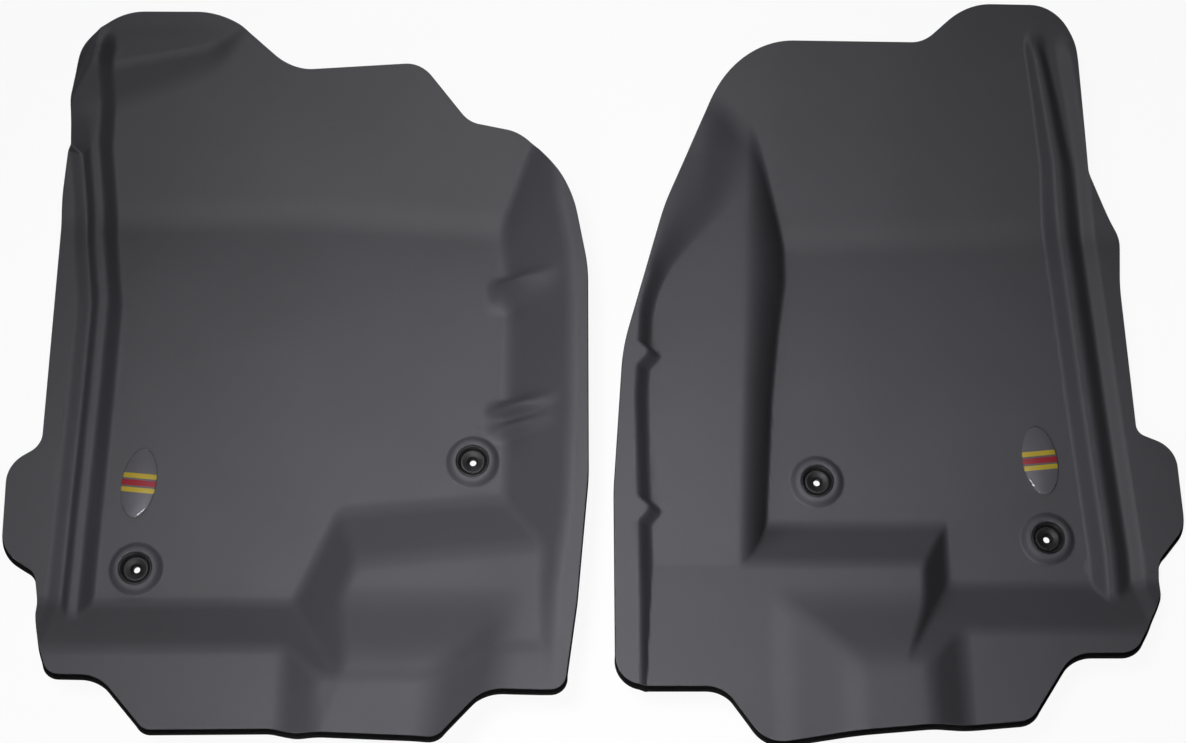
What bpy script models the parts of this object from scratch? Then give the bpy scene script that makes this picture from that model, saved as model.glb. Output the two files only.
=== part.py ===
"""Pair of deep-moulded front floor liners, each with two retention grommets and an oval domed badge.

Sizes are millimetres and become metres when a mesh is made. In plan every liner has its own axes:
u runs from the sill rib towards the tunnel, and v from the foot of the rear step towards the toe board.
Relief heights are counted from the top of the flat floor.
"""
import math

import bmesh
import bpy
import numpy as np
from mathutils import Matrix, Vector
from mathutils.geometry import delaunay_2d_cdt, interpolate_bezier

MM = 0.001
SET_NAME = "floor_mat_set"

# Layers of the moulded sheet, and the gap kept between pieces that touch
SKIN_THICKNESS = 1.8
BACKING_THICKNESS = 7.0
FIT_GAP = 0.3

# Flat floor of each liner, between the feet of its walls, and the space between the two liners
DRIVER_FLOOR_WIDTH = 473.0
DRIVER_FLOOR_LENGTH = 463.0
PASSENGER_FLOOR_WIDTH = 346.0
PASSENGER_FLOOR_LENGTH = 420.0
PAIR_GAP = 28.0

# Moulded forms that both liners have
TOE_SLOPE = 0.55
RIB_HEIGHT = 20.0
RIB_HALF_FOOT = 17.0
RIB_HALF_CREST = 5.9
RIB_SLOPE = 1.8
RIB_BLEND = 10.0
RIB_FADE = 40.0
SILL_FLANGE_HEIGHT = 8.0
SILL_FLANGE_RUN = 18.0
REAR_STEP_HEIGHT = 58.0
REAR_STEP_SLOPE = 1.05
REAR_TILT = 0.1
BOX_FRONT_SLOPE = 0.78
UPPER_STEP_HEIGHT = 36.0
UPPER_STEP_SLOPE = 0.54
UPPER_SIDE_SLOPE = 0.9
UPPER_STEP_BLEND = 10.0
FORM_BLEND = 12.0
STEEPEST_THICKENING = 1.8

# Forms of the driver's liner only
ARCH_FOOT_HEIGHT = 66.0
ARCH_HEIGHT = 108.0
ARCH_SLOPE = 1.5
ARCH_SIDE_SLOPE = 1.2
ARCH_OVERLAP = 2.0
DRIVER_SILL_FOOT = 17.0
TUNNEL_HEIGHT = 72.0

# Forms of the passenger's liner only
HUMP_HEIGHT = 60.0
HUMP_ROUNDING = 2.2
BOX_SIDE_RUN = 34.0
CONSOLE_HEIGHT = 80.0
CONSOLE_RUN = 18.0
PASSENGER_SILL_FOOT = 24.0
SHELF_RAMP = 30.0
SHELF_SOFT_RAMP = 160.0

# Bead of the skin around each grommet
BEAD_HEIGHT = 7.0
BEAD_CREST_WIDTH = 5.7
BEAD_FLARE = 6.0
BEAD_ROUNDING = 1.5
BEAD_ROOT = 0.6
BEAD_WALL_CLEARANCE = 9.0
SEAT_HEIGHT = 3.2

# Grommet: turned cup, lock ring under the skin, and quarter-turn plug
PLUG_RADIUS = 13.8
PLUG_RUNNING_GAP = 0.5
PLUG_RECESS = 3.6
CUP_WALL = 1.2
CUP_LIP_OVERLAP = 2.5
CUP_LIP_BELOW_BEAD = 1.4
CUP_MOUTH_DEPTH = 3.0
BARB_HEIGHT = 1.2
BARB_REACH = 1.0
GROUND_CLEARANCE = 1.0
LOCK_RING_WIDTH = 6.0
LUG_SETBACK = 0.4
LUG_THICKNESS = 1.6
LUG_WIDTH = 6.0
LUG_END_CLEARANCE = 2.5
LEDGE_THICKNESS = 1.8
STEM_RADIUS = 8.4
STUD_HOLE_RADIUS = 3.8
FUNNEL_RADIUS = 6.4
FUNNEL_DEPTH = 5.0
DISH_DEPTH = 1.6
PLUG_RIM = 2.4
NOTCH_WIDTH = 2.6
NOTCH_DEPTH = 1.4

# Places of the grommets and badges as u and v, where no wall sets them
DRIVER_INBOARD_V = 163.0
DRIVER_OUTBOARD_U = 62.0
DRIVER_BADGE = (58.0, 138.0)
PASSENGER_INBOARD_V = 120.0
PASSENGER_OUTBOARD = (52.0, 54.0)
PASSENGER_BADGE = (54.0, 145.0)

# Badge: printed plate under a clear dome
BADGE_LENGTH = 80.0
BADGE_WIDTH = 39.0
BADGE_LEAN_DEG = 5.5
PLATE_THICKNESS = 1.0
DOME_HEIGHT = 2.2
DOME_EDGE = 0.7

# Fineness of the meshes
ROUND_SEGMENTS = 20
DOME_STEPS = 4
ARC_STEP_DEG = 24.0
BLANK_CELL = 8.0
BLANK_MARGIN = 12.0
BLANK_KEEP = 0.045
RIB_FOLLOW = 150.0
FLAT_BELOW = 0.9
CUT_MARGIN = 5.0
TRIM_REACH = 400.0
SLOPE_SPAN = 1.0
ARC_SHARE = 0.48
SHARP_ANGLE_DEG = 35.0
MERGE_DISTANCE = 0.01

# Levels above the ground that the pieces share
BACKING_TOP = BACKING_THICKNESS
SKIN_BOTTOM = BACKING_TOP + FIT_GAP
FLOOR_TOP = SKIN_BOTTOM + SKIN_THICKNESS
BEAD_TOP = FLOOR_TOP + BEAD_HEIGHT
SEAT_TOP = FLOOR_TOP + SEAT_HEIGHT
LIP_BOTTOM = SEAT_TOP + FIT_GAP
LIP_TOP = BEAD_TOP - CUP_LIP_BELOW_BEAD
PLUG_TOP = LIP_TOP - PLUG_RECESS
STEM_BOTTOM = GROUND_CLEARANCE
LUG_BOTTOM = STEM_BOTTOM + LUG_SETBACK
LUG_TOP = LUG_BOTTOM + LUG_THICKNESS
LEDGE_BOTTOM = LUG_TOP + FIT_GAP
LEDGE_TOP = LEDGE_BOTTOM + LEDGE_THICKNESS
DISC_BOTTOM = LEDGE_TOP + FIT_GAP
BARB_TOP = GROUND_CLEARANCE + BARB_HEIGHT
RING_BOTTOM = BARB_TOP + FIT_GAP
RING_TOP = SKIN_BOTTOM - FIT_GAP
PLATE_BOTTOM = FLOOR_TOP + FIT_GAP
DOME_BOTTOM = PLATE_BOTTOM + PLATE_THICKNESS + FIT_GAP

# Radii that follow from the plug
CUP_INNER_RADIUS = PLUG_RADIUS + PLUG_RUNNING_GAP
BARREL_RADIUS = CUP_INNER_RADIUS + CUP_WALL
HOLE_RADIUS = BARREL_RADIUS + FIT_GAP
LIP_RADIUS = BARREL_RADIUS + CUP_LIP_OVERLAP
MOUTH_RADIUS = LIP_RADIUS - CUP_WALL
LEDGE_RADIUS = STEM_RADIUS + PLUG_RUNNING_GAP
LUG_REACH = math.sqrt((CUP_INNER_RADIUS - LUG_END_CLEARANCE) ** 2 - (LUG_WIDTH / 2) ** 2)
RING_RADIUS = HOLE_RADIUS + LOCK_RING_WIDTH
POCKET_RADIUS = RING_RADIUS + FIT_GAP
BEAD_INNER_RADIUS = LIP_RADIUS + FIT_GAP
BEAD_CREST_RADIUS = BEAD_INNER_RADIUS + BEAD_CREST_WIDTH
BEAD_FOOT_RADIUS = BEAD_CREST_RADIUS + BEAD_FLARE

# Colours as linear red, green and blue, with roughness
RUBBER = ((0.070, 0.068, 0.078), 0.62)
FELT = ((0.006, 0.006, 0.007), 0.95)
NYLON = ((0.012, 0.012, 0.014), 0.42)
PRINT = ((0.130, 0.128, 0.140), 0.50)
RESIN = ((0.420, 0.420, 0.440), 0.08)


def smooth_max(first, second, blend):
    """The larger of two heights, rounded over where they come within the blend of each other."""
    near = np.maximum(blend - np.abs(first - second), 0.0) / blend
    return np.maximum(first, second) + near * near * blend / 4


def smooth_min(first, second, blend):
    return -smooth_max(-first, -second, blend)


def smooth_step(value):
    """0 up to 0 and 1 from 1, with a rounded rise between."""
    share = np.clip(value, 0.0, 1.0)
    return share * share * (3 - 2 * share)


def block(*walls):
    """A raised block: the lowest of its walls and its top, with rounded edges."""
    height = walls[0]
    for wall in walls[1:]:
        height = smooth_min(height, wall, FORM_BLEND)
    return height


def raised(height, *forms):
    """A surface with forms rising out of it."""
    for form in forms:
        height = smooth_max(height, form, FORM_BLEND)
    return height


def moulding(*forms):
    """The flat floor with every form rising out of it."""
    return raised(np.zeros_like(forms[0]), *forms)


def beyond(u, v, start, end):
    """Distance to the left of the line from start to end."""
    along = np.subtract(end, start) / math.dist(start, end)
    return (v - start[1]) * along[0] - (u - start[0]) * along[1]


def line_at(v, *points):
    """The u of a plan line at v. Its points are (u, v), from the rear to the toe."""
    return np.interp(v, [point[1] for point in points], [point[0] for point in points])


def sill_rib(u, v, line, end, foot, size):
    """The rounded rib along the sill, which fades out at its toe end. Its foot on the sill side varies."""
    away = (u - line) / size
    inner = (RIB_HALF_FOOT - away) * RIB_SLOPE
    outer = (foot + away) * RIB_HEIGHT / (foot - RIB_HALF_CREST)
    crest = smooth_min(np.minimum(inner, outer), RIB_HEIGHT, RIB_BLEND)
    return size * smooth_max(crest, 0.0 * crest, RIB_BLEND) * smooth_step((end - v) / RIB_FADE)


def sill_flange(u, v, line, end, foot):
    """The low ledge outside the sill rib, which fades out with it."""
    away = (line - u - foot) / SILL_FLANGE_RUN
    return SILL_FLANGE_HEIGHT * smooth_step(away) * smooth_step((end - v) / RIB_FADE)


def rear_top(v, upper):
    """Height of the rear plateau, which tilts up towards the rear edge and carries the upper step."""
    return REAR_STEP_HEIGHT - REAR_TILT * v + upper


def upper_step(*walls):
    """The step on the rear plateau: the lowest of its walls and its top."""
    height = UPPER_STEP_HEIGHT + 0.0 * walls[0]
    for wall in walls:
        height = smooth_min(height, wall, UPPER_STEP_BLEND)
    return smooth_max(height, 0.0 * height, UPPER_STEP_BLEND)


def driver_rib(v):
    """The u of the rib's crest at v."""
    length = DRIVER_FLOOR_LENGTH
    return line_at(
        v, (0, 0), (2, 126), (4, 231), (5, length - 110), (-7, length - 26), (-11, length + 72),
        (1, length + 165))


def passenger_rib(v):
    length = PASSENGER_FLOOR_LENGTH
    return line_at(
        v, (-11, 34), (0, 208), (10, length - 27), (13, length + 13), (20, length + 71), (36, length + 139),
        (50, length + 193))


def driver_relief(u, v):
    width = DRIVER_FLOOR_WIDTH
    length = DRIVER_FLOOR_LENGTH
    rib = driver_rib(v)
    sill = line_at(v, (DRIVER_SILL_FOOT, length + 66), (90, length + 124))
    toe = (v - line_at(u, (length, 0), (length + 4, width / 2), (length - 14, width))) * TOE_SLOPE
    arch = block(
        ARCH_FOOT_HEIGHT + ARCH_SLOPE * beyond(u, v, (0, length + 114), (140, length + 143)),
        ARCH_FOOT_HEIGHT + ARCH_SLOPE * beyond(u, v, (140, length + 143), (190, length + 180)),
        ARCH_HEIGHT + ARCH_SIDE_SLOPE * np.minimum(u - rib + ARCH_OVERLAP, 0.0))
    foot = line_at(
        v, (width - 21, -100), (width - 17, 0), (width - 4, 98), (width, 216), (width, length - 100),
        (width - 11, length - 8), (width - 15, length + 60))
    edge = line_at(
        v, (width + 51, -100), (width + 55, 0), (width + 68, 98), (width + 72, 216),
        (width + 72, length - 131), (width + 69, length - 62), (width + 56, length),
        (width + 50, length + 60))
    tunnel = block((u - foot) * TUNNEL_HEIGHT / (edge - foot), TUNNEL_HEIGHT + 0.0 * u)
    upper = upper_step(
        (-9 - v) * UPPER_STEP_SLOPE,
        (u - width + 231) * UPPER_SIDE_SLOPE,
        beyond(u, v, (width - 10, -160), (width + 6, -30)) * UPPER_STEP_SLOPE)
    cross = block(-v * REAR_STEP_SLOPE, rear_top(v, upper))
    box = block(
        BOX_FRONT_SLOPE * beyond(u, v, (width, 119), (width - 186, 103)),
        REAR_STEP_SLOPE * beyond(u, v, (width - 187, 103), (width - 233, 0)),
        rear_top(v, upper))
    panel = raised(moulding(toe, tunnel), arch) + sill_rib(u, v, rib, length + 200, sill, 1.0)
    return raised(panel, cross, box) + sill_flange(u, v, rib, length + 200, sill)


def passenger_relief(u, v):
    width = PASSENGER_FLOOR_WIDTH
    length = PASSENGER_FLOOR_LENGTH
    rib = passenger_rib(v)
    size = line_at(v, (1, length + 20), (0.6, length + 180))
    toe = (v - line_at(u, (length + 6, 0), (length - 6, width))) * TOE_SLOPE
    end = line_at(u, (length - 27, width + 91), (length - 46, width + 125), (length - 73, width + 136))
    ramp = line_at(u, (SHELF_SOFT_RAMP, width + 70), (SHELF_RAMP, width + 125))
    rise = smooth_step((v - end) / ramp) * smooth_step((u - width - 40) / 70)
    shelf = HUMP_HEIGHT + (CONSOLE_HEIGHT - HUMP_HEIGHT) * rise
    foot = line_at(
        v, (width + 22, 30), (width + 20, 75), (width + 10, 217), (width, length - 118),
        (width - 9, length - 60), (width - 9, length - 18), (width - 2, length + 70),
        (width + 2, length + 110))
    edge = line_at(
        v, (width + 57, 30), (width + 53, 139), (width + 44, length - 104), (width + 42, length - 18),
        (width + 36, length + 70), (width + 34, length + 110))
    wall = line_at(
        v, (width + 147, -30), (width + 151, 200), (width + 145, length - 122), (width + 132, length - 60),
        (width + 94, length + 30), (width + 54, length + 140))
    shelf = shelf + (CONSOLE_HEIGHT - shelf) * smooth_step((u - wall) / CONSOLE_RUN)
    fall = np.maximum(edge - u, 0.0) / (edge - foot)
    hump = shelf * (1 - fall ** HUMP_ROUNDING)
    upper = upper_step(
        (-30 - v) * UPPER_STEP_SLOPE,
        (u - width + 179) * UPPER_SIDE_SLOPE,
        (width + 10 - u) * UPPER_STEP_SLOPE)
    cross = block(-v * REAR_STEP_SLOPE, rear_top(v, upper))
    box = block(
        (68 - v) * REAR_STEP_SLOPE,
        (u - width + 179) * REAR_STEP_HEIGHT / BOX_SIDE_RUN,
        rear_top(v, upper))
    panel = moulding(toe, hump) + sill_rib(u, v, rib, length + 214, PASSENGER_SILL_FOOT, size)
    return raised(panel, cross, box) + sill_flange(u, v, rib, length + 214, PASSENGER_SILL_FOOT)


def driver_corners():
    """Corners of the driver's outline as (u, v, radius), from the sill ear round by the toe."""
    width = DRIVER_FLOOR_WIDTH
    length = DRIVER_FLOOR_LENGTH
    return (
        (-40, -12, 60), (-48, 33, 20), (-88, 58, 45), (-91, 158, 36), (-54, 181, 24), (-55, length + 15, 150),
        (-16, length + 206, 78), (144, length + 206, 100), (219, length + 153, 70),
        (width - 103, length + 158, 40), (width - 48, length + 97, 35), (width + 21, length + 84, 60),
        (width + 73, length + 7, 150), (width + 91, length - 88, 200), (width + 92, 130, 300),
        (width + 80, -10, 300), (width + 67, -108, 16), (width - 17, -106, 45), (width - 65, -163, 18),
        (width - 211, -157, 50), (width - 240, -149, 50), (99, -150, 16), (46, -91, 45), (-9, -90, 18))


def passenger_corners():
    """Corners of the passenger's outline as (u, v, radius), from the sill ear round by the toe."""
    width = PASSENGER_FLOOR_WIDTH
    length = PASSENGER_FLOOR_LENGTH
    return (
        (-65, -10, 45), (-68, 27, 25), (-101, 66, 40), (-99, 158, 42), (-57, 176, 14),
        (-53, length - 66, 300), (-58, length - 6, 35), (-20, length + 64, 30), (7, length + 236, 57),
        (128, length + 237, 80), (177, length + 198, 40), (width + 52, length + 199, 105),
        (width + 132, length + 7, 300), (width + 180, length - 165, 250), (width + 191, 90, 300),
        (width + 190, -123, 30), (width + 76, -123, 36), (width + 33, -184, 38), (width - 20, -179, 200),
        (100, -160, 25), (50, -87, 40), (-17, -87, 26))


def rounded(corners):
    """The outline's points, with a tangent arc in place of every corner."""
    points = []
    for index, corner in enumerate(corners):
        tip = Vector(corner[:2])
        back = Vector(corners[index - 1][:2]) - tip
        ahead = Vector(corners[(index + 1) % len(corners)][:2]) - tip
        turn = math.pi - back.angle(ahead)
        setback = min(corner[2] * math.tan(turn / 2), ARC_SHARE * back.length, ARC_SHARE * ahead.length)
        start = tip + back.normalized() * setback
        end = tip + ahead.normalized() * setback
        handle = 4 / 3 * math.tan(turn / 4) / math.tan(turn / 2)
        steps = max(2, math.ceil(math.degrees(turn) / ARC_STEP_DEG) + 1)
        knots = (start, start.lerp(tip, handle), end.lerp(tip, handle), end)
        points.extend(interpolate_bezier(*(knot.to_3d() for knot in knots), steps))
    return [(point.x, point.y) for point in points]


class Liner:
    """One liner: its plan in its own axes, and where those axes lie in the set."""

    def __init__(self, name, hand, corners, rib, relief, grommets, badge):
        self.name = name
        self.hand = hand
        self.outline = rounded(corners)
        self.rib = rib
        self.relief = relief
        self.grommets = grommets
        self.badge = badge
        self.origin = Vector((0.0, 0.0))

    def reach(self):
        """Lowest and highest u and v of the outline."""
        return np.min(self.outline, axis=0), np.max(self.outline, axis=0)

    def world(self, u, v):
        return self.origin.x + self.hand * u, self.origin.y + v

    def height(self, x, y):
        """Relief at a place of the set, and how much thicker a slope is when measured upright."""
        u = (x - self.origin.x) * self.hand
        v = y - self.origin.y
        relief = self.relief(u, v)
        half = SLOPE_SPAN / 2
        slope_u = (self.relief(u + half, v) - self.relief(u - half, v)) / SLOPE_SPAN
        slope_v = (self.relief(u, v + half) - self.relief(u, v - half)) / SLOPE_SPAN
        return relief, np.minimum(np.sqrt(1 + slope_u ** 2 + slope_v ** 2), STEEPEST_THICKENING)


def make_liners():
    """Both liners, side by side with their rear edges in line and the set centred on the origin."""
    from_wall = BEAD_FOOT_RADIUS + BEAD_WALL_CLEARANCE
    driver = Liner(
        "driver", 1, driver_corners(), driver_rib, driver_relief,
        {"inboard": (DRIVER_FLOOR_WIDTH - from_wall, DRIVER_INBOARD_V),
         "outboard": (DRIVER_OUTBOARD_U, from_wall)},
        DRIVER_BADGE)
    passenger = Liner(
        "passenger", -1, passenger_corners(), passenger_rib, passenger_relief,
        {"inboard": (PASSENGER_FLOOR_WIDTH - from_wall, PASSENGER_INBOARD_V),
         "outboard": PASSENGER_OUTBOARD},
        PASSENGER_BADGE)
    driver_low, driver_high = driver.reach()
    passenger_low, passenger_high = passenger.reach()
    total_width = driver_high[0] - driver_low[0] + PAIR_GAP + passenger_high[0] - passenger_low[0]
    total_length = max(driver_high[1] - driver_low[1], passenger_high[1] - passenger_low[1])
    driver.origin = Vector((-total_width / 2 - driver_low[0], -total_length / 2 - driver_low[1]))
    passenger.origin = Vector((total_width / 2 + passenger_low[0], -total_length / 2 - passenger_low[1]))
    return driver, passenger


def clear_scene():
    for item in list(bpy.data.objects):
        bpy.data.objects.remove(item, do_unlink=True)


def make_collection(name):
    collection = bpy.data.collections.new(name)
    bpy.context.scene.collection.children.link(collection)
    return collection


def make_material(name, finish):
    colour, roughness = finish
    material = bpy.data.materials.new(name)
    material.use_nodes = True
    shader = material.node_tree.nodes["Principled BSDF"]
    shader.inputs["Base Color"].default_value = (*colour, 1.0)
    shader.inputs["Roughness"].default_value = roughness
    shader.inputs["Metallic"].default_value = 0.0
    return material


def add_object(name, data, collection, finish=None, place=(0.0, 0.0)):
    """A part if it has a finish, and otherwise a cutter, at a place of the set."""
    item = bpy.data.objects.new(name, data)
    item.location = (place[0] * MM, place[1] * MM, 0.0)
    collection.objects.link(item)
    if finish:
        data.materials.append(make_material(name + "_finish", finish))
    else:
        item.hide_render = True
        item.display_type = "WIRE"
    return item


def mesh_from(bm, name):
    """A mesh in metres from a bmesh in millimetres."""
    bmesh.ops.scale(bm, vec=(MM, MM, MM), verts=bm.verts)
    mesh = bpy.data.meshes.new(name)
    bm.to_mesh(mesh)
    bm.free()
    return mesh


def turned_mesh(name, profile):
    """A closed profile of (radius, height) points, down the outer side and up the inner."""
    bm = bmesh.new()
    points = [bm.verts.new((radius, 0.0, height)) for radius, height in profile]
    for pair in zip(points, points[1:] + points[:1]):
        bm.edges.new(pair)
    return mesh_from(bm, name)


def add_turned(name, profile, place, collection, finish=None):
    """A turned piece on an upright axis through its place."""
    item = add_object(name, turned_mesh(name, profile), collection, finish, place)
    screw = item.modifiers.new("turn", "SCREW")
    screw.axis = "Z"
    screw.angle = 2 * math.pi
    screw.steps = ROUND_SEGMENTS
    screw.render_steps = ROUND_SEGMENTS
    screw.use_merge_vertices = True
    screw.merge_threshold = MERGE_DISTANCE * MM
    return item


def add_cylinder(name, radius, bottom, top, place, collection):
    bm = bmesh.new()
    bmesh.ops.create_cone(
        bm, cap_ends=True, segments=ROUND_SEGMENTS, radius1=radius, radius2=radius, depth=top - bottom,
        matrix=Matrix.Translation((0.0, 0.0, (top + bottom) / 2)))
    return add_object(name, mesh_from(bm, name), collection, place=place)


def add_box(name, size, centre, place, collection):
    bm = bmesh.new()
    bmesh.ops.create_cube(bm, size=1.0, matrix=Matrix.Translation(centre) @ Matrix.Diagonal((*size, 1.0)))
    return add_object(name, mesh_from(bm, name), collection, place=place)


def combine(item, other, operation):
    boolean = item.modifiers.new(operation.lower(), "BOOLEAN")
    boolean.operation = operation
    boolean.object = other
    boolean.solver = "EXACT"


def evaluated_mesh(item):
    return bpy.data.meshes.new_from_object(item.evaluated_get(bpy.context.evaluated_depsgraph_get()))


def settle(item):
    """Apply a part's modifiers and shade it smooth between its sharp edges."""
    mesh = evaluated_mesh(item)
    mesh.shade_smooth()
    mesh.set_sharp_from_angle(angle=math.radians(SHARP_ANGLE_DEG))
    item.modifiers.clear()
    item.data = mesh


def add_trim(liner, cutters):
    """The outline as an upright prism that trims the moulded sheets."""
    curve = bpy.data.curves.new(liner.name + "_outline", "CURVE")
    curve.dimensions = "2D"
    curve.fill_mode = "BOTH"
    curve.extrude = TRIM_REACH * MM
    spline = curve.splines.new("POLY")
    spline.points.add(len(liner.outline) - 1)
    for point, (u, v) in zip(spline.points, liner.outline):
        x, y = liner.world(u, v)
        point.co = (x * MM, y * MM, 0.0, 1.0)
    spline.use_cyclic_u = True
    drawn = add_object(liner.name + "_outline", curve, cutters)
    mesh = evaluated_mesh(drawn)
    bpy.data.objects.remove(drawn)
    bm = bmesh.new()
    bm.from_mesh(mesh)
    bmesh.ops.remove_doubles(bm, verts=bm.verts, dist=MERGE_DISTANCE * MM)
    bmesh.ops.recalc_face_normals(bm, faces=bm.faces)
    bm.to_mesh(mesh)
    bm.free()
    return add_object(liner.name + "_trim", mesh, cutters)


def make_blank(liner, cutters):
    """The plan of the moulded form as a flat mesh, with small faces only where the form bends.

    It starts as a grid whose columns bend to follow the rib.
    """
    low, high = liner.reach()
    first = np.floor((low - BLANK_MARGIN) / BLANK_CELL)
    last = np.ceil((high + BLANK_MARGIN) / BLANK_CELL)
    half = (last - first) * BLANK_CELL / 2
    centre = (last + first) * BLANK_CELL / 2
    bm = bmesh.new()
    bmesh.ops.create_grid(
        bm, x_segments=int(last[0] - first[0]), y_segments=int(last[1] - first[1]), size=1.0,
        matrix=Matrix.Translation((*centre, 0.0)) @ Matrix.Diagonal((*half, 1.0, 1.0)))
    u, v, _ = np.array([vert.co for vert in bm.verts]).T
    follow = np.clip(1 - np.abs(u) / RIB_FOLLOW, 0.0, 1.0)
    x, y = liner.world(u + follow * liner.rib(v), v)
    relief, _ = liner.height(x, y)
    for vert, place in zip(bm.verts, zip(x, y, relief)):
        vert.co = place
    blank = add_object(liner.name + "_blank", mesh_from(bm, liner.name + "_blank"), cutters)
    decimate = blank.modifiers.new("coarsen", "DECIMATE")
    decimate.ratio = BLANK_KEEP
    decimate.use_collapse_triangulate = True
    coarse = evaluated_mesh(blank)
    bpy.data.objects.remove(blank)
    return flattened(coarse)


def flattened(coarse):
    """A mesh's edges laid flat in plan and triangulated between, so that no face lies under another."""
    places = [vert.co.xy for vert in coarse.vertices]
    edges = [tuple(edge.vertices) for edge in coarse.edges]
    places, _, faces, *_ = delaunay_2d_cdt(places, edges, [], 0, MERGE_DISTANCE * MM)
    flat = bpy.data.meshes.new("plan")
    flat.from_pydata([place.to_3d() for place in places], [], faces)
    return flat


def add_sheet(liner, name, blank, depth_top, depth_bottom, collection, finish):
    """A closed sheet between two depths under the moulded form, measured square to its slopes."""
    bm = bmesh.new()
    bm.from_mesh(blank)
    bmesh.ops.scale(bm, vec=(1 / MM, 1 / MM, 1 / MM), verts=bm.verts)
    lower = list(bm.verts)
    extruded = bmesh.ops.extrude_face_region(bm, geom=list(bm.faces), use_keep_orig=True)
    upper = [item for item in extruded["geom"] if isinstance(item, bmesh.types.BMVert)]
    for verts, depth in ((lower, depth_bottom), (upper, depth_top)):
        places = np.array([vert.co for vert in verts])
        relief, thickening = liner.height(places[:, 0], places[:, 1])
        flat = relief < FLAT_BELOW
        relief[flat] = 0.0
        thickening[flat] = 1.0
        heights = np.maximum(FLOOR_TOP + relief - depth * thickening, FLOOR_TOP - depth_bottom)
        for vert, height in zip(verts, heights):
            vert.co.z = height
    bmesh.ops.recalc_face_normals(bm, faces=bm.faces)
    return add_object(name, mesh_from(bm, name), collection, finish)


def bead_profile():
    flare = BEAD_FLARE / BEAD_HEIGHT
    return (
        (BEAD_INNER_RADIUS + BEAD_ROUNDING, BEAD_TOP),
        (BEAD_CREST_RADIUS - BEAD_ROUNDING, BEAD_TOP),
        (BEAD_CREST_RADIUS + flare * BEAD_ROUNDING, BEAD_TOP - BEAD_ROUNDING),
        (BEAD_FOOT_RADIUS + flare * BEAD_ROOT, FLOOR_TOP - BEAD_ROOT),
        (HOLE_RADIUS - BEAD_ROOT, FLOOR_TOP - BEAD_ROOT),
        (HOLE_RADIUS - BEAD_ROOT, SEAT_TOP),
        (BEAD_INNER_RADIUS, SEAT_TOP),
        (BEAD_INNER_RADIUS, BEAD_TOP - BEAD_ROUNDING))


def cup_profile():
    return (
        (LIP_RADIUS, LIP_TOP),
        (LIP_RADIUS, LIP_BOTTOM),
        (BARREL_RADIUS, LIP_BOTTOM),
        (BARREL_RADIUS, BARB_TOP),
        (BARREL_RADIUS + BARB_REACH, BARB_TOP),
        (BARREL_RADIUS, GROUND_CLEARANCE),
        (CUP_INNER_RADIUS, GROUND_CLEARANCE),
        (CUP_INNER_RADIUS, LEDGE_BOTTOM),
        (LEDGE_RADIUS, LEDGE_BOTTOM),
        (LEDGE_RADIUS, LEDGE_TOP),
        (CUP_INNER_RADIUS, LEDGE_TOP),
        (CUP_INNER_RADIUS, LIP_TOP - CUP_MOUTH_DEPTH),
        (MOUTH_RADIUS, LIP_TOP))


def lock_ring_profile():
    return (
        (HOLE_RADIUS, RING_TOP),
        (RING_RADIUS, RING_TOP),
        (RING_RADIUS, RING_BOTTOM),
        (HOLE_RADIUS, RING_BOTTOM))


def plug_profile():
    """The plug around its stud hole: funnel, dished top, rim, disc and stem."""
    return (
        (FUNNEL_RADIUS, PLUG_TOP - DISH_DEPTH),
        (PLUG_RADIUS - PLUG_RIM, PLUG_TOP),
        (PLUG_RADIUS - FIT_GAP, PLUG_TOP),
        (PLUG_RADIUS, PLUG_TOP - FIT_GAP),
        (PLUG_RADIUS, DISC_BOTTOM),
        (STEM_RADIUS, DISC_BOTTOM),
        (STEM_RADIUS, STEM_BOTTOM),
        (STUD_HOLE_RADIUS, STEM_BOTTOM),
        (STUD_HOLE_RADIUS, PLUG_TOP - FUNNEL_DEPTH))


def add_grommet(liner, side, place, parts, cutters):
    """Cup, lock ring and plug of one grommet."""
    prefix = f"{liner.name}_{side}_"
    cup = add_turned(prefix + "grommet_cup", cup_profile(), place, parts, NYLON)
    slot_size = (2 * (LUG_REACH + PLUG_RUNNING_GAP), LUG_WIDTH + 2 * PLUG_RUNNING_GAP, 2 * LEDGE_THICKNESS)
    slot_centre = (0.0, 0.0, (LEDGE_BOTTOM + LEDGE_TOP) / 2)
    combine(cup, add_box(prefix + "lug_slots", slot_size, slot_centre, place, cutters), "DIFFERENCE")
    add_turned(prefix + "lock_ring", lock_ring_profile(), place, parts, NYLON)
    plug = add_turned(prefix + "plug", plug_profile(), place, parts, NYLON)
    lug_root = (STUD_HOLE_RADIUS + STEM_RADIUS) / 2
    lug_size = (LUG_WIDTH, LUG_REACH - lug_root, LUG_THICKNESS)
    notch_size = (NOTCH_WIDTH, 2 * NOTCH_DEPTH, 2 * NOTCH_DEPTH)
    for end, sign in (("front", 1), ("rear", -1)):
        lug_centre = (0.0, sign * (LUG_REACH + lug_root) / 2, (LUG_BOTTOM + LUG_TOP) / 2)
        lug = add_box(f"{prefix}{end}_lug", lug_size, lug_centre, place, cutters)
        combine(plug, lug, "UNION")
        notch_centre = (0.0, sign * PLUG_RADIUS, PLUG_TOP)
        notch = add_box(f"{prefix}{end}_notch", notch_size, notch_centre, place, cutters)
        combine(plug, notch, "DIFFERENCE")


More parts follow.
